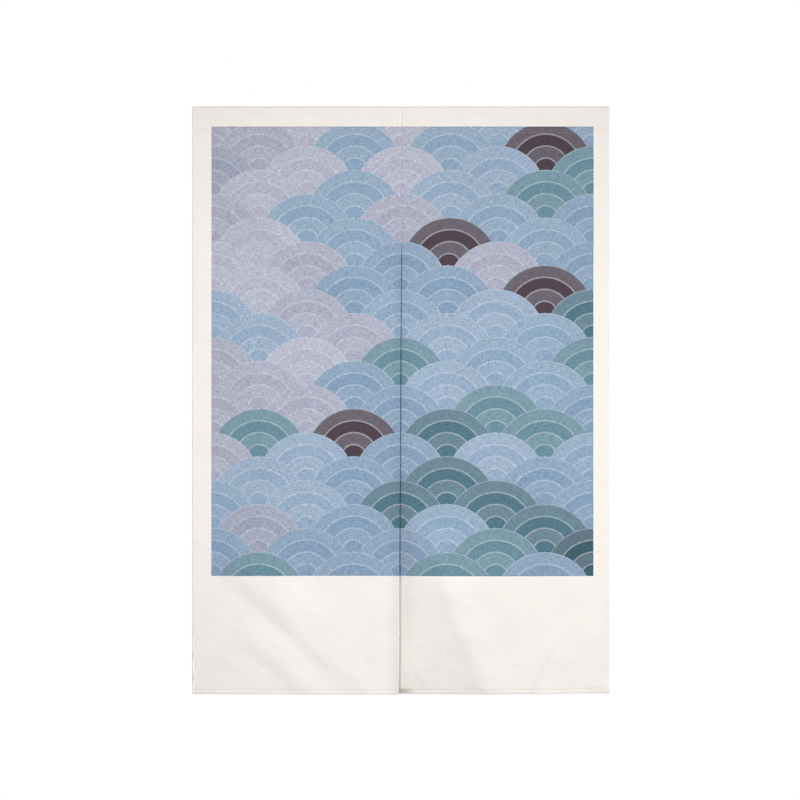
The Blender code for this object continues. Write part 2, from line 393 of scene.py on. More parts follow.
def eased(distance, width):
    """0 up to distance 0, then rising, steeply at first, to 1 at a width."""
    return 1 - np.clip(1 - np.clip(distance, 0, None) / width, 0, 1) ** 2


def slit_hollow(from_slit, depth):
    """How far the right panel lies back: little beside the slit, more inside it, less at its own edge."""
    right_of_slit = from_slit - tuck(depth)
    open_part = EDGE_BACK * (1 - eased(right_of_slit, EASE_WIDTH))
    opening = SLIT_OPENING * (1 - TOP_NARROWER * (1 - smooth((depth - OPENS_FROM) / OPENS_RUN)))
    inside = smooth((opening - right_of_slit) / SLIT_WALL)
    to_end = smooth(1 - from_slit / END_WIDTH) * tuck(depth) / TUCK_WIDTH
    end = HOLLOW_END - END_FORWARD * smooth((depth - CLOSES_FROM) / CLOSES_RUN)
    return open_part + inside * (HOLLOW - EDGE_BACK - (HOLLOW - end) * to_end)


def panel_face(side, across, depth):
    """The Y of a panel's front face."""
    from_slit = np.abs(across - inner_edge(side, depth))
    to_foot = foot_depth(across) - depth
    forward = sum(fold_forward(fold, across, depth) for fold in FOLDS[side])
    swell = smooth((depth - HEADING_FOOT) / (DROP - HEADING_FOOT))
    forward = forward + sum(rise * swell * bump((across - crest) / half) for crest, half, rise in WAVES[side])
    back = sum(away * bump(np.hypot(across - place, to_foot) / reach) for place, reach, away in CURLS[side])
    parted = smooth((depth - SLIT_TOP) / SLIT_PART)
    if side == LEFT:
        forward = forward + EDGE_LIFT * parted * np.clip(1 - from_slit / LIFT_WIDTH, 0, 1) ** 2
        near_slit = 1.0
    else:
        shallower = 1 - FOOT_SHALLOWER * bump(to_foot / SHALLOW_RUN)
        back = back + parted * slit_hollow(from_slit, depth) * shallower
        turned = CORNER_TURN * bump(to_foot / TURN_HEIGHT)
        back = back + turned * bump((from_slit - TURN_PLACE) / TURN_HALF)
        near_slit = eased(from_slit - tuck(depth), TUCK_EASE)
    back = back + (1 - parted) * seam_dip(from_slit)
    grown = smooth((depth - HEADING_FOOT) / RELIEF_RUN)
    forward = forward + BROAD_RIPPLE * unevenness(across, depth, 0.090, 11 + side)
    forward = forward * grown * near_slit
    settled = smooth((depth - HEADING_FOOT) / 0.050)
    forward = forward + SMALL_RIPPLE * settled * unevenness(across, depth, 0.030, 21 + side)
    forward = forward - heading_puckers(across, depth)
    from_seam = to_foot - foot_seam(across)
    forward = forward + PUCKER * puckers(across, np.abs(from_seam), 0.012, 0.008, 41 + side)
    forward = forward + hem_twist(across, depth)
    pull = 1 + CORNER_PULL * smooth((across - CORNER_SEAM_X) / CORNER_PULL_RUN)
    back = back + GROOVE * pull * bump(from_seam / GROOVE_HALF)
    return FRONT - forward + back


middle_face = panel_face(LEFT, np.array(-0.2), np.array(0.6))
print("face of the left panel at its middle:", float(middle_face.round(5)))

# %% [markdown]
# Above the panels the cloth opens into the rod pocket. Its two walls part from the stitches upwards and
# meet in a round top. With no rod in it to fill it out, the front wall has soft dents.

# %% The rod pocket's walls
DENTS = (
    # across, half width, depth of the dent
    (-0.395, 0.020, 0.0007),
    (-0.300, 0.026, 0.0009),
    (-0.188, 0.022, 0.0006),
    (-0.065, 0.024, 0.0008),
    (0.163, 0.026, 0.0009),
    (0.276, 0.020, 0.0006),
    (0.386, 0.018, 0.0007),
)
DENT_TOP = 0.004
DENT_FOOT = 0.034


def pocket_half(depth):
    """Half the pocket's outer thickness below its round top."""
    share = np.clip((depth - POCKET_RADIUS) / (POCKET_DEPTH - POCKET_RADIUS), 0, 1)
    return HEADING_HALF + (POCKET_RADIUS - HEADING_HALF) * (1 - share) ** 1.2


def pocket_dent(across, depth):
    """How far the pocket's front is pressed back by its dents and ripples."""
    height = bump((depth - (DENT_TOP + DENT_FOOT) / 2) / ((DENT_FOOT - DENT_TOP) / 2))
    back = height * sum(push * bump((across - place) / half) for place, half, push in DENTS)
    loose = bump((depth - 0.026) / 0.022)
    back = back + 0.00045 * loose * unevenness(across, depth, 0.055, 51)
    return back + heading_puckers(across, depth) + seam_dip(np.abs(across - SEAM_X))


def heading_groove(to_edge, depth):
    """How far the two rows of stitches pull each face in. Over the side hems there are too many layers."""
    free = smooth((to_edge - HEM) / 0.003)
    return HEADING_GROOVE * free * sum(bump((depth - row) / HEADING_GROOVE_HALF) for row in STITCH_ROWS)


print("pocket", round(float(pocket_half(POCKET_RADIUS)) * 2000, 1), "mm thick at its fullest")

# %% [markdown]
# ## The cloth as one sheet
#
# A tailor cuts each panel as one rectangle. Its long edges are turned to the back for hems, its foot is
# turned up, and its top goes over the rod, down the back, and in under itself where it is sewn. The mesh is
# made the same way: a grid in the cloth's own directions, laid along that path. First come the places
# across the cloth, from the raw edge of one hem round its fold, over the face, to the raw edge of the other.

# %% Places across the cloth
FOLD_STEPS = 6
FACE_STEP = 0.0046
SLIT_STEP = 0.00052


def hem_fold():
    """From behind the fold to the face: distance in, layers behind the face, and run past the edge."""
    turn = (LAYER + FOLD_FULLNESS) / 2
    strip = np.array([HEM, 0.0094, 0.0076, 0.0056, 0.0036, 0.0018])
    angle = np.linspace(np.pi, 0, FOLD_STEPS + 1)
    inward = np.concatenate([strip, turn - turn * np.sin(angle)])
    opened = 1 + FOLD_FULLNESS / LAYER * bump(strip / FULLNESS_RUN)
    behind = np.concatenate([opened, turn / LAYER * (1 - np.cos(angle))])
    run = np.concatenate([-(strip - turn) - turn * np.pi + turn, turn - turn * angle])
    return inward, behind, run


def places_across(side):
    """Distance from the slit edge, layers behind the face, and run across the cloth from the slit edge."""
    width = panel_width(side)
    inward, behind, run = hem_fold()
    near = np.array([0.0010, 0.0019, 0.0030, 0.0044, 0.0062, 0.0082, 0.0100, 0.0116, 0.0135, 0.0165, 0.0200])
    at_slit = near
    if side == RIGHT:
        at_slit = np.concatenate([np.arange(0.0008, 0.0102, SLIT_STEP), near[-4:]])
    count = round((width - 2 * near[-1]) / FACE_STEP)
    face = np.linspace(near[-1], width - near[-1], count + 1)[1:-1]
    face = np.concatenate([at_slit, face, width - near[::-1]])
    from_slit = np.concatenate([inward, face, width - inward[::-1]])
    layers = np.concatenate([behind, np.zeros_like(face), behind[::-1]])
    runs = np.concatenate([run, face, width - run[::-1]])
    return from_slit, layers, runs


from_slit, layers, runs = places_across(LEFT)
print(len(from_slit), "places across the left panel, cut", round((runs[-1] - runs[0]) * 1000), "mm wide")

# %% [markdown]
# Next come the places down the cloth. Each row says where the cloth's path is (its depth, and its Y where
# the face doesn't give it), which way its wrong side looks, how far it has gone round a fold, and how far
# the cloth has run. Rows lie close together at folds and stitches, where the surface changes quickly.

# %% Places down the cloth
HEADING_TURN = 0.007
ROW_STEP = 0.0050
FOLDED_ROW_STEP = 0.0042
FOLDED_FROM = 0.780


def rows_down():
    """A list of rows: zone, depth, angle round the pocket's top or a fold, run of the cloth, way back."""
    middle = POCKET_RADIUS - CLOTH / 2
    over = -POCKET_RADIUS + np.pi * middle
    turn = LAYER / 2
    fold_depth = HEADING_FOOT - turn
    to_fold = over + fold_depth - POCKET_RADIUS
    rows = []
    for back in (HEADING_TURN, 0.0055, 0.004, 0.002):
        rows.append(("turned_in", fold_depth, np.pi, to_fold + turn * np.pi + back, back))
    for angle in np.linspace(np.pi, 0, FOLD_STEPS + 1):
        rows.append(("turned_in", fold_depth, angle, to_fold + turn * angle, 0.0))
    open_wall = np.arange(POCKET_RADIUS, 0.0455, 0.0035)[1:]
    sewn_wall = np.arange(0.0456, fold_depth - 0.0005, 0.0007)
    wall = np.concatenate([open_wall, sewn_wall])
    for depth in wall[::-1]:
        rows.append(("back_wall", depth, 0.0, over + depth - POCKET_RADIUS, 0.0))
    for angle in np.linspace(np.pi, 0, 15):
        rows.append(("top", POCKET_RADIUS, angle, -POCKET_RADIUS + middle * angle, 0.0))
    for depth in np.concatenate([wall, [HEADING_FOOT]]):
        rows.append(("front_wall", depth, 0.0, -depth, 0.0))
    upper = np.arange(HEADING_FOOT + 0.002, FOLDED_FROM, ROW_STEP)
    folded = np.arange(FOLDED_FROM, DROP - 0.0135, FOLDED_ROW_STEP)
    foot = DROP - np.array([0.0122, 0.0110, 0.0100, 0.0091, 0.0082, 0.0073, 0.0063, 0.0048, 0.0030, 0.0015])
    for depth in np.concatenate([upper, folded, foot]):
        rows.append(("face", depth, 0.0, -depth, 0.0))
    for angle in np.linspace(0, np.pi, FOLD_STEPS + 1):
        rows.append(("foot", DROP, angle, -DROP - turn * angle, 0.0))
    for back in (0.0018, 0.0036, 0.0056, 0.0076, 0.0094, HEM):
        rows.append(("foot", DROP, np.pi, -DROP - turn * np.pi - back, back))
    return rows


print(len(rows_down()), "places down the cloth")

# %% [markdown]
# Where the foot's hem crosses a side hem there are four layers, so the fold there has to go round three
# steps instead of one. Elsewhere it goes round one. A tailor trims the corners of the heading's turned-in
# edge for the same reason, so the grid has no faces there.

# %% Lay the cloth
TRIMMED = 0.0125
CROSSING_WIDTH = 0.0135
CROSSING_RUN = 0.0030


def lay_row(side, row, from_slit, layers):
    """The points of one row of the grid, along the middle of the cloth's thickness."""
    zone, depth, angle, _, back = row
    width = panel_width(side)
    outer = side * WIDTH / 2
    to_edge = np.minimum(from_slit, width - from_slit)
    if zone == "foot":
        crossing = smooth((CROSSING_WIDTH - to_edge) / CROSSING_RUN)
        step = LAYER * (1 + 2 * crossing) + FOLD_FULLNESS * bump(back / FULLNESS_RUN)
    else:
        step = np.full_like(from_slit, LAYER)
    in_heading = zone not in ("face", "foot")
    off = LAYER * (np.minimum(layers, 1.0) if in_heading else layers)
    behind = step / 2 - (step / 2 - off) * np.cos(angle)
    past = (step / 2 - off) * np.sin(angle) - back
    depths = np.full_like(from_slit, depth)
    across = inner_edge(side, depths)
    across = across + (outer - across) * from_slit / width
    if zone == "foot":
        depths = foot_depth(across) - step / 2 + past
        y = panel_face(side, across, depths) + CLOTH / 2 + behind
    elif zone == "face":
        depths = depth - (DROP - foot_depth(across)) * smooth((depth - LIFT_FROM) / (DROP - LIFT_FROM))
        y = panel_face(side, across, depths) + CLOTH / 2 + off
    elif zone == "front_wall":
        pressed = pocket_dent(across, depths) + heading_groove(to_edge, depths)
        y = -pocket_half(depths) + pressed + CLOTH / 2 + off
    elif zone == "top":
        radius = POCKET_RADIUS - CLOTH / 2 - off
        depths = POCKET_RADIUS - radius * np.sin(angle)
        y = -radius * np.cos(angle) + max(np.cos(angle), 0.0) * pocket_dent(across, depths)
    else:
        depths = depths + past
        pressed = BACK_DENT_SHARE * pocket_dent(-across, depths)
        pressed = pressed + BACK_GROOVE_SHARE * heading_groove(to_edge, depths)
        y = pocket_half(depths) - pressed - CLOTH / 2 - behind
    return np.stack([across, y, -depths], axis=-1)


def cut_size(points):
    """The width and length of the flat cloth, measured along the grid's rows and columns."""
    widths = np.linalg.norm(np.diff(points, axis=1), axis=2).sum(axis=1)
    lengths = np.linalg.norm(np.diff(points, axis=0), axis=2).sum(axis=0)
    return float(widths.mean()), float(lengths.mean())


def lay_cloth(name, side):
    """One panel's cloth as a grid, with its run across and down kept as its UV map, and its cut size."""
    from_slit, layers, runs = places_across(side)
    rows = rows_down()
    points = np.array([lay_row(side, row, from_slit, layers) for row in rows])
    width = panel_width(side)
    on_face = (layers == 0) & (np.minimum(from_slit, width - from_slit) > TRIMMED)
    columns = len(from_slit)
    faces = []
    for r in range(len(rows) - 1):
        trimmed = rows[r][0] == "turned_in"
        for c in range(columns - 1):
            if trimmed and not (on_face[c] and on_face[c + 1]):
                continue
            a = r * columns + c
            quad = (a, a + 1, a + columns + 1, a + columns)
            faces.append(quad if side == LEFT else quad[::-1])
    mesh = bpy.data.meshes.new(name)
    mesh.from_pydata(points.reshape(-1, 3).tolist(), [], faces)
    cloth_map = mesh.uv_layers.new(name="cloth")
    u = np.broadcast_to(SEAM_X + side * runs, (len(rows), columns)).reshape(-1)
    v = np.broadcast_to(np.array([row[3] for row in rows])[:, None], (len(rows), columns)).reshape(-1)
    corners = np.empty(len(mesh.loops), dtype=np.int32)
    mesh.loops.foreach_get("vertex_index", corners)
    cloth_map.data.foreach_set("uv", np.stack([u[corners], v[corners]], axis=-1).reshape(-1))
    cloth = bpy.data.objects.new(name, mesh)
    bpy.context.scene.collection.objects.link(cloth)
    return cloth, cut_size(points)


def only(piece):
    """Select one piece alone and make it the active one, as an operator expects."""
    bpy.ops.object.select_all(action="DESELECT")
    piece.select_set(True)
    bpy.context.view_layer.objects.active = piece


cloths, cut_sizes = {}, {}
for side, word in ((LEFT, "left"), (RIGHT, "right")):
    cloths[side], cut_sizes[side] = lay_cloth(f"{word}_cloth", side)
    print(cloths[side].name, len(cloths[side].data.polygons), "faces")

# %% [markdown]
# ## Finishes
#
# Every finish is worked out by nodes. Sums of node values are easier to read as sums, so a small class wraps
# one output of a node and adds a Math node for each operator. A finish has one method that makes any node.

# %% Shader sums
class Wire:
    """One output of a node, which can be added, multiplied and compared as a number can."""

    def __init__(self, finish, socket):
        self.finish = finish
        self.socket = socket

    def math(self, operation, *values):
        return self.finish.node("ShaderNodeMath", {"operation": operation}, dict(enumerate(values)))

    def __add__(self, other):
        return self.math("ADD", self, other)

    __radd__ = __add__

    def __sub__(self, other):
        return self.math("SUBTRACT", self, other)

    def __rsub__(self, other):
        return self.math("SUBTRACT", other, self)

    def __mul__(self, other):
        return self.math("MULTIPLY", self, other)

    __rmul__ = __mul__

    def __truediv__(self, other):
        return self.math("DIVIDE", self, other)

    def __lt__(self, other):
        return self.math("LESS_THAN", self, other)

    def __gt__(self, other):
        return self.math("GREATER_THAN", self, other)

    def __abs__(self):
        return self.math("ABSOLUTE", self)

    def floor(self):
        return self.math("FLOOR", self)

    def nearest(self):
        return self.math("ROUND", self)

    def fraction(self):
        return self.math("FRACT", self)

    def root(self):
        return self.math("SQRT", self)

    def wave(self):
        return self.math("SINE", self)


class Finish:
    """A new material with its shader. Constants go on the shader's own sockets."""

    def __init__(self, name, **constants):
        self.material = bpy.data.materials.new(name)
        self.material.use_nodes = True
        self.tree = self.material.node_tree
        self.shader = self.tree.nodes["Principled BSDF"]
        for socket, value in constants.items():
            self.shader.inputs[socket.replace("_", " ")].default_value = value

    def plug(self, socket, value):
        """Link a wire to a socket, or set a plain value on it."""
        if isinstance(value, Wire):
            self.tree.links.new(value.socket, socket)
        else:
            socket.default_value = value

    def node(self, kind, settings, values, output=0):
        """Make a node of a kind with its settings and the values of its sockets, and return one output."""
        made = self.tree.nodes.new(kind)
        for name, setting in settings.items():
            if name == "stops":
                ramp = made.color_ramp
                for position, colour in setting[1:-1]:
                    ramp.elements.new(position).color = colour
                for element, stop in ((ramp.elements[0], setting[0]), (ramp.elements[-1], setting[-1])):
                    element.position, element.color = stop
            elif name == "ramp":
                made.color_ramp.interpolation = setting
            else:
                setattr(made, name, setting)
        for socket, value in values.items():
            self.plug(made.inputs[socket], value)
        return Wire(self, made.outputs[output])

    def mix(self, share, first, second, blend="MIX"):
        """A colour between two others."""
        settings = {"data_type": "RGBA", "blend_type": blend, "clamp_result": False}
        return self.node("ShaderNodeMix", settings, {0: share, 6: first, 7: second}, output=2)

    def feed(self, socket, value):
        """Send a wire to the shader."""
        self.plug(self.shader.inputs[socket], value)


print("operators:", [name for name in vars(Wire) if name.startswith("__")][2:-2])

# %% [markdown]
# The inks of such a print are a few greyed blues, a teal or two, and lilac. Colours are easiest to pick as
# they look on a screen, from 0 to 255, and a shader wants them linear, so one helper turns them over.

# %% Inks and ground
def screen_colour(red, green, blue):
    """A colour as a screen shows it, in the linear values that a shader takes."""
    share = np.array([red, green, blue]) / 255
    linear = np.where(share <= 0.04045, share / 12.92, ((share + 0.055) / 1.055) ** 2.4)
    return (*(float(value) for value in linear), 1.0)


GROUND = screen_colour(247, 241, 236)
# The thread's colour is partly painted shade: it is darker than real off-white thread, so that each row of
# stitches reads as the shadowed line that its dimples make.
THREAD_WITH_PAINTED_SHADE = screen_colour(205, 193, 181)
INKS = (
    # where each ink starts on the way from the pale corner to the deep one
    (0.00, screen_colour(180, 182, 199)),
    (0.24, screen_colour(169, 171, 189)),
    (0.34, screen_colour(158, 163, 182)),
    (0.40, screen_colour(148, 170, 195)),
    (0.50, screen_colour(140, 165, 190)),
    (0.61, screen_colour(132, 157, 184)),
    (0.71, screen_colour(104, 140, 155)),
    (0.80, screen_colour(80, 117, 132)),
    (0.92, screen_colour(58, 92, 105)),
)
PLUM = screen_colour(76, 62, 73)
PALE_LINE = screen_colour(205, 213, 223)
print("ground in linear values:", [round(value, 3) for value in GROUND[:3]])

# %% [markdown]
# ## The print
#
# The printed field is a plain rectangle on the off-white ground, with crisp edges and a faintly darker
# outline where the ink pooled. It runs across the heading's stitches and across the seam. What is printed
# in it here is seigaiha, the old pattern of sea waves as overlapping fans: rows of circles, each row half a
# radius higher than the one in front of it and shifted by a radius.
#
# For any place, three fans can be in front: one of the row that starts below by half a radius or more, one
# of the next row up, or one of the row above that. The first whose circle holds the place is the one seen.

# %% Where the print lies
PRINT_LEFT, PRINT_RIGHT = -0.3861, 0.3935
PRINT_TOP, PRINT_FOOT = 0.0415, 0.9583
OUTLINE_WIDTH = 0.0022
FANS_ACROSS = 4
FAN_RADIUS = (PRINT_RIGHT - PRINT_LEFT) / FANS_ACROSS / 2


def cloth_place(finish):
    """The run across and down the cloth at a shading point, from its UV map."""
    uv = finish.node("ShaderNodeUVMap", {"uv_map": "cloth"}, {})
    across = finish.node("ShaderNodeSeparateXYZ", {}, {0: uv}, output=0)
    down = finish.node("ShaderNodeSeparateXYZ", {}, {0: uv}, output=1)
    return uv, across, down


def choose(share, first, second):
    """The first number where share is 0 and the second where it is 1."""
    return first + (second - first) * share


def wave_fans(right, up):
    """How far out a place lies in the fan that shows there, with that fan's column and row."""
    half = FAN_RADIUS / 2
    row = (up / half).floor()
    rise = up - row * half
    odd = (row * 0.5).fraction() * 2
    shift_here = odd * FAN_RADIUS
    shift_next = FAN_RADIUS - shift_here
    centre_here = ((right - shift_here) / (2 * FAN_RADIUS)).nearest() * (2 * FAN_RADIUS) + shift_here
    centre_next = ((right - shift_next) / (2 * FAN_RADIUS)).nearest() * (2 * FAN_RADIUS) + shift_next
    away_here, away_next = right - centre_here, right - centre_next

    def reach(away, above):
        return (away * away + above * above).root() / FAN_RADIUS

    front, middle, back = reach(away_next, rise + half), reach(away_here, rise), reach(away_next, rise - half)
    in_front, in_middle = front < 1.0, middle < 1.0
    out = choose(in_front, choose(in_middle, back, middle), front)
    centre = choose(in_front, choose(in_middle, centre_next, centre_here), centre_next)
    column = (centre / FAN_RADIUS).nearest()
    fan_row = choose(in_front, row + 1 - in_middle, row - 1)
    return out, column, fan_row


print(f"fans of {FAN_RADIUS * 1000:.0f} mm radius, {FANS_ACROSS} across")

# %% [markdown]
# Each fan takes one flat ink. A slow change from one corner of the field to the opposite one picks which,
# and a throw of dice for each fan shuffles it a little, so that no two neighbours need be alike. White
# Noise gives the same throw for the same numbers, so a fan is all one colour.

# %% Ink of each fan
def fan_ink(finish, column, fan_row):
    """The flat colour of a fan, from pale lilac at the upper left to deep teal at the lower right."""

    def throw(number):
        seat = finish.node("ShaderNodeCombineXYZ", {}, {0: column + 0.5, 1: fan_row + 0.5, 2: number})
        return finish.node("ShaderNodeTexWhiteNoise", {"noise_dimensions": "3D"}, {"Vector": seat}, output=0)

    dice = throw(3.5)
    other_dice = throw(8.5)
    rows = (PRINT_FOOT - PRINT_TOP) / (FAN_RADIUS / 2)
    slope = column / (2 * FANS_ACROSS) * 0.45 + (rows - fan_row) / rows * 0.55
    pick = slope * 0.56 + dice * 0.50 - 0.02
    stops = INKS + ((1.0, INKS[-1][1]),)
    ink = finish.node("ShaderNodeValToRGB", {"ramp": "CONSTANT", "stops": stops}, {0: pick})
    return finish.mix(other_dice > 0.985, ink, PLUM)


def printed_field(across, down):
    """1 inside the printed rectangle and 0 outside, and 1 along its outline alone."""
    middle_x, half_x = (PRINT_LEFT + PRINT_RIGHT) / 2, (PRINT_RIGHT - PRINT_LEFT) / 2
    middle_y, half_y = -(PRINT_TOP + PRINT_FOOT) / 2, (PRINT_FOOT - PRINT_TOP) / 2
    to_side = half_x - abs(across - middle_x)
    to_end = half_y - abs(down - middle_y)
    inside = (to_side > 0) * (to_end > 0)
    deep_inside = (to_side > OUTLINE_WIDTH) * (to_end > OUTLINE_WIDTH)
    return inside, inside - deep_inside


def print_colour(finish, across, down):
    """The whole print's colour at a place: fans, their pale rings, and the outline."""
    out, column, fan_row = wave_fans(across - PRINT_LEFT, down + PRINT_FOOT)
    ink = fan_ink(finish, column, fan_row)
    ring = (out * 4 + 0.5).fraction() - 0.5
    line = abs(ring) < 0.060
    colour = finish.mix(line * 0.38, ink, PALE_LINE)
    band = ((out * 4).floor() * 0.5).fraction() * 2
    return finish.mix(band * 0.12, colour, PALE_LINE)


print("print", round(PRINT_RIGHT - PRINT_LEFT, 4), "by", round(PRINT_FOOT - PRINT_TOP, 4), "m")

# %% [markdown]
# ## The weave
#
# The cloth is a slubby plain weave: its threads swell and thin along their length. Where they swell, the
# ink takes less well, so the print has a grain of short streaks both ways, while the bare ground hardly
# shows any. Noise that is stretched along one thread direction gives such streaks. Fine sine waves one
# thread apart are the weave itself. They feed the bump alone, since they are too small to see in colour.

# %% Threads and slubs
THREAD_PITCH = 0.00085


def streaks(finish, uv, across_scale, down_scale, detail):
    """Noise of one size across the cloth and another down it, from about -0.5 to 0.5."""
    stretched = finish.node(
        "ShaderNodeVectorMath", {"operation": "MULTIPLY"}, {0: uv, 1: (across_scale, down_scale, 1.0)}
    )
    values = {"Vector": stretched, "Scale": 1.0, "Detail": detail}
    return finish.node("ShaderNodeTexNoise", {"noise_dimensions": "2D"}, values) - 0.5


def slubs(finish, uv):
    """Swollen stretches of the threads, both ways, and a fine grain between them."""
    weft = streaks(finish, uv, 95, 520, 1.0)
    warp = streaks(finish, uv, 520, 95, 1.0)
    grain = streaks(finish, uv, 760, 760, 0.0)
    return weft + warp + grain * 0.9


def weave(finish, across, down):
    """The height of a plain weave: threads over and under each other."""
    turn = 2 * np.pi / THREAD_PITCH
    return (across * turn).wave() * (down * turn).wave()


print("threads", THREAD_PITCH * 1000, "mm apart")

# %% [markdown]
# The face and the back share one recipe. On the face the ink is at full strength. On the back it has only
# come through the cloth, so it is pale and its grain is stronger.

# %% Cloth finish
def cloth_finish(name, ink_strength, grain_strength):
    """The woven, printed cloth, seen from its face or from its back."""
    finish = Finish(name, Metallic=0.0, Sheen_Weight=0.10, Sheen_Roughness=0.6, Specular_IOR_Level=0.25)
    uv, across, down = cloth_place(finish)
    inside, outline = printed_field(across, down)
    ink = print_colour(finish, across, down)
    cloudy = streaks(finish, uv, 9, 9, 2.0)
    uneven = slubs(finish, uv)
    tone = 1 + uneven * grain_strength + cloudy * 0.10 - outline * 0.10
    printed = finish.node("ShaderNodeCombineXYZ", {}, {0: tone, 1: tone, 2: tone})
    toned = finish.mix(1.0, ink, printed, "MULTIPLY")
    bare_tone = 1 + uneven * 0.050 + cloudy * 0.014
    bare = finish.node("ShaderNodeCombineXYZ", {}, {0: bare_tone, 1: bare_tone, 2: bare_tone})
    ground = finish.mix(1.0, GROUND, bare, "MULTIPLY")
    finish.feed("Base Color", finish.mix(inside * ink_strength, ground, toned))
    finish.feed("Roughness", 0.86 + uneven * 0.08)
    height = weave(finish, across, down) * 0.25 + uneven * 0.9
    bumps = {"Strength": 0.35, "Distance": 0.00035, "Height": height}
    finish.feed("Normal", finish.node("ShaderNodeBump", {}, bumps))
    return finish.material


face_finish = cloth_finish("printed_face", 1.0, 0.56)
back_finish = cloth_finish("unprinted_back", 0.42, 0.70)
print(len(face_finish.node_tree.nodes), "nodes in the face's finish")

# %% [markdown]
# Clean up the points that the trimmed corners left behind, and give the cloth its thickness with Solidify.
# The face keeps the first material, and the new surface behind it gets the second.

# %% Thickness
for cloth in cloths.values():
    cloth.data.materials.append(face_finish)
    cloth.data.materials.append(back_finish)
    only(cloth)
    bpy.ops.object.mode_set(mode="EDIT")
    bpy.ops.mesh.select_all(action="SELECT")
    bpy.ops.mesh.delete_loose()
    bpy.ops.object.mode_set(mode="OBJECT")
    solidify = cloth.modifiers.new("thickness", "SOLIDIFY")
    solidify.thickness = CLOTH
    solidify.offset = 0.0
    solidify.material_offset = 1
    bpy.ops.object.modifier_apply(modifier="thickness")
    bpy.ops.object.shade_smooth_by_angle(angle=1.1)
    print(cloth.name, len(cloth.data.polygons), "faces", [round(v, 4) for v in cloth.dimensions])

# %% [markdown]
# ## Stitches
#
# A machine's stitch shows as a short bead of thread that dips into the cloth at both ends. One bead is
# modelled and laid thousands of times, so it has few faces. Its copies are joined into one mesh for each
# side's panel.

# %% One stitch
THREAD_WIDTH = 0.00042
STITCH_PITCH = 0.0034
STITCH_LENGTH = 0.0029
WANDER = 0.00012

bpy.ops.object.select_all(action="DESELECT")
bpy.ops.mesh.primitive_uv_sphere_add(segments=6, ring_count=4, radius=0.5, rotation=(0, np.pi / 2, 0))
stitch = bpy.context.object
stitch.name = "one_stitch"
bpy.ops.object.transform_apply(location=False, rotation=True, scale=False)
bpy.ops.object.mode_set(mode="EDIT")
bpy.ops.mesh.select_all(action="SELECT")
bpy.ops.transform.resize(value=(STITCH_LENGTH, THREAD_WIDTH, THREAD_WIDTH))
bpy.ops.object.mode_set(mode="OBJECT")
bead_points = np.array([vertex.co[:] for vertex in stitch.data.vertices])
bead_faces = [tuple(polygon.vertices) for polygon in stitch.data.polygons]
bpy.data.objects.remove(stitch)
print(len(bead_points), "points in one stitch")


def lay_stitches(starts, ends, outward):
    """Beads from starts to ends, half sunk in the surface that looks outward."""
    along = ends - starts
    length = np.linalg.norm(along, axis=1, keepdims=True)
    along = along / length
    out = outward - (outward * along).sum(1, keepdims=True) * along
    out = out / np.linalg.norm(out, axis=1, keepdims=True)
    beside = np.cross(out, along)
    middle = (starts + ends) / 2 + out * THREAD_WIDTH * 0.22
    stretch = length / STITCH_LENGTH
    x, y, z = bead_points.T
    points = middle[:, None] + (along * stretch)[:, None] * x[:, None] + beside[:, None] * y[:, None]
    points = points + out[:, None] * z[:, None]
    first = np.arange(len(starts)) * len(bead_points)
    faces = [tuple(int(f + v) for v in face) for f in first for face in bead_faces]
    return points.reshape(-1, 3), faces


# %% [markdown]
# A row of stitches is a line across or down the cloth, on its face or its back. For each bead the surface
# is asked for its Y at both ends. Each stitch wanders a little, as a real one does.

# %% Rows of stitches
FRONT_SIDE, BACK_SIDE = -1, 1


def surface_y(side, across, depth, facing):
    """The Y of the cloth's outer surface, seen from the front or from the back, hems included."""
    width = panel_width(side)
    from_slit = np.abs(across - inner_edge(side, depth))
    to_edge = np.minimum(from_slit, width - from_slit)
    groove = heading_groove(to_edge, depth)
    half = pocket_half(depth)
    in_heading = depth < HEADING_FOOT
    if facing == FRONT_SIDE:
        heading = -half + pocket_dent(across, depth) + groove
        return np.where(in_heading, heading, panel_face(side, across, depth))
    heading = half - BACK_DENT_SHARE * pocket_dent(-across, depth) - BACK_GROOVE_SHARE * groove
    on_side_hem = to_edge < HEM
    on_foot_hem = foot_depth(across) - depth < HEM
    steps = np.where(on_foot_hem, np.where(on_side_hem, 3, 1), np.where(on_side_hem, 1, 0))
    return np.where(in_heading, heading, panel_face(side, across, depth) + CLOTH + LAYER * steps)


def row_across(side, depth_of, facing, seed):
    """Stitches in a row across a panel, at a depth that may change with the place."""
    chance = np.random.default_rng(seed)
    inner = float(inner_edge(side, np.array(depth_of(0.0))))
    outer = side * (WIDTH / 2 - 0.0012)
    count = int(abs(outer - inner) // STITCH_PITCH)
    starts = inner + side * (0.0008 + np.arange(count) * STITCH_PITCH)
    ends = starts + side * STITCH_LENGTH
    wander = chance.normal(0, WANDER, (2, count))
    places = []
    for across, drift in zip((starts, ends), wander):
        depth = np.array([depth_of(x) for x in across]) + drift
        places.append(np.stack([across, surface_y(side, across, depth, facing), -depth], axis=1))
    outward = np.tile([0.0, float(facing), 0.0], (count, 1))
    return lay_stitches(*places, outward)


def row_down(side, inward, from_outer, top, facing, seed):
    """Stitches in a row down a panel, a distance in from its slit edge or its outer edge."""
    chance = np.random.default_rng(seed)
    count = int((DROP - 0.012 - top) // STITCH_PITCH)
    starts = top + np.arange(count) * STITCH_PITCH
    wander = chance.normal(0, WANDER, (2, count))
    places = []
    for depth, drift in zip((starts, starts + STITCH_LENGTH), wander):
        edge = np.full(count, side * WIDTH / 2) if from_outer else inner_edge(side, depth)
        across = edge + side * (-inward if from_outer else inward) + drift
        places.append(np.stack([across, surface_y(side, across, depth, facing), -depth], axis=1))
    outward = np.tile([0.0, float(facing), 0.0], (count, 1))
    return lay_stitches(*places, outward)


# %% [markdown]
# The heading has two rows and the foot one, on both faces. The side hems are caught from the back with
# small stitches that don't come through, so those rows show on the back alone.

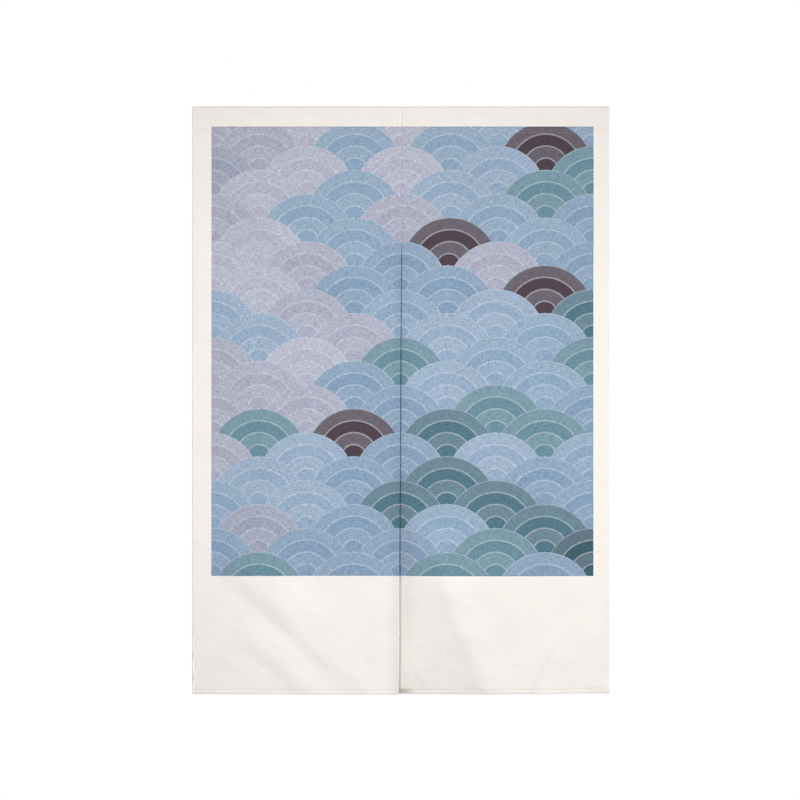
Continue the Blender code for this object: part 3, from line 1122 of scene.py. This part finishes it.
# %% Sew each panel
SIDE_STITCH = 0.0084

# The thread's finish carries painted shade: its colour is darker than the real thread's, standing in for the
# shadow along the stitches.
thread_finish = Finish("thread_with_painted_shade", Base_Color=THREAD_WITH_PAINTED_SHADE, Roughness=0.7, Sheen_Weight=0.2)
thread_grain = thread_finish.node("ShaderNodeTexCoord", {}, {}, output=3)
twist = thread_finish.node("ShaderNodeTexNoise", {}, {"Vector": thread_grain, "Scale": 2600.0, "Detail": 1.0})
shade = 0.86 + twist * 0.24
tinted = thread_finish.node("ShaderNodeCombineXYZ", {}, {0: shade, 1: shade, 2: shade})
thread_finish.feed("Base Color", thread_finish.mix(1.0, THREAD_WITH_PAINTED_SHADE, tinted, "MULTIPLY"))
thread_bump = {"Strength": 0.4, "Distance": 0.0001, "Height": twist}
thread_finish.feed("Normal", thread_finish.node("ShaderNodeBump", {}, thread_bump))


def join_beads(name, rows):
    """One mesh of all these rows of beads."""
    points, faces, first = [], [], 0
    for row_points, row_faces in rows:
        points.append(row_points)
        faces += [tuple(first + v for v in face) for face in row_faces]
        first += len(row_points)
    mesh = bpy.data.meshes.new(name)
    mesh.from_pydata(np.concatenate(points).tolist(), [], faces)
    mesh.shade_smooth()
    mesh.materials.append(thread_finish.material)
    joined = bpy.data.objects.new(name, mesh)
    bpy.context.scene.collection.objects.link(joined)
    return joined


def foot_row(across):
    """The depth of the foot's stitches at a place."""
    return float(foot_depth(across) - foot_seam(across))


sewing = {}
for side, word in ((LEFT, "left"), (RIGHT, "right")):
    rows = []
    for facing in (FRONT_SIDE, BACK_SIDE):
        for number, depth in enumerate(STITCH_ROWS):
            seed = 100 + 10 * number + facing
            rows.append(row_across(side, lambda across, depth=depth: depth, facing, seed))
        rows.append(row_across(side, foot_row, facing, 130 + facing))
    for number, from_outer in enumerate((False, True)):
        rows.append(row_down(side, SIDE_STITCH, from_outer, HEADING_FOOT + 0.003, BACK_SIDE, 140 + number))
    sewing[side] = join_beads(f"{word}_stitches", rows)
    print(sewing[side].name, len(sewing[side].data.polygons), "faces")

# %% [markdown]
# The seam is closed from behind: an overcast stitch passes round both folded edges every few millimetres,
# from the heading down to where the slit opens. There a bar tack, a close block of stitches, keeps the
# slit from tearing further up.

# %% Close the seam
OVERCAST_PITCH = 0.0042
OVERCAST_REACH = 0.0026
TACK_STITCHES = 11
TACK_HEIGHT = 0.0075

depths = np.arange(HEADING_FOOT + 0.003, SLIT_TOP - TACK_HEIGHT, OVERCAST_PITCH)
tack = np.linspace(SLIT_TOP - TACK_HEIGHT, SLIT_TOP, TACK_STITCHES)
start_depth = np.concatenate([depths, tack])
end_depth = np.concatenate([depths + 0.0022, tack + 0.0002])
ends = []
for reach, depth in ((-OVERCAST_REACH, start_depth), (OVERCAST_REACH, end_depth)):
    across = SEAM_X + np.full(len(depth), reach)
    side = LEFT if reach < 0 else RIGHT
    ends.append(np.stack([across, surface_y(side, across, depth, BACK_SIDE) + 0.0001, -depth], axis=1))
backward = np.tile([0.0, 1.0, 0.0], (len(start_depth), 1))
seam_sewing = join_beads("seam_stitches", [lay_stitches(*ends, backward)])
print(len(start_depth), "stitches close the seam")

# %% [markdown]
# ## Put each piece on the frame's body
#
# Each cloth stands in for the solids of its panel and heading, which are hidden. It hangs from the root
# body, and its size as cut, hems and pocket included, is printed. Its stitches hang from the same body.

for side, word in ((LEFT, "left"), (RIGHT, "right")):
    cloth = cloths[side]
    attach(cloth, "root")
    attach(sewing[side], "root")
    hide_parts(f"{word}_panel", f"{word}_heading")
    print(cloth.name, "cut to", [round(length * 1000) for length in cut_sizes[side]], "mm")
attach(seam_sewing, "root")

# %% [markdown]
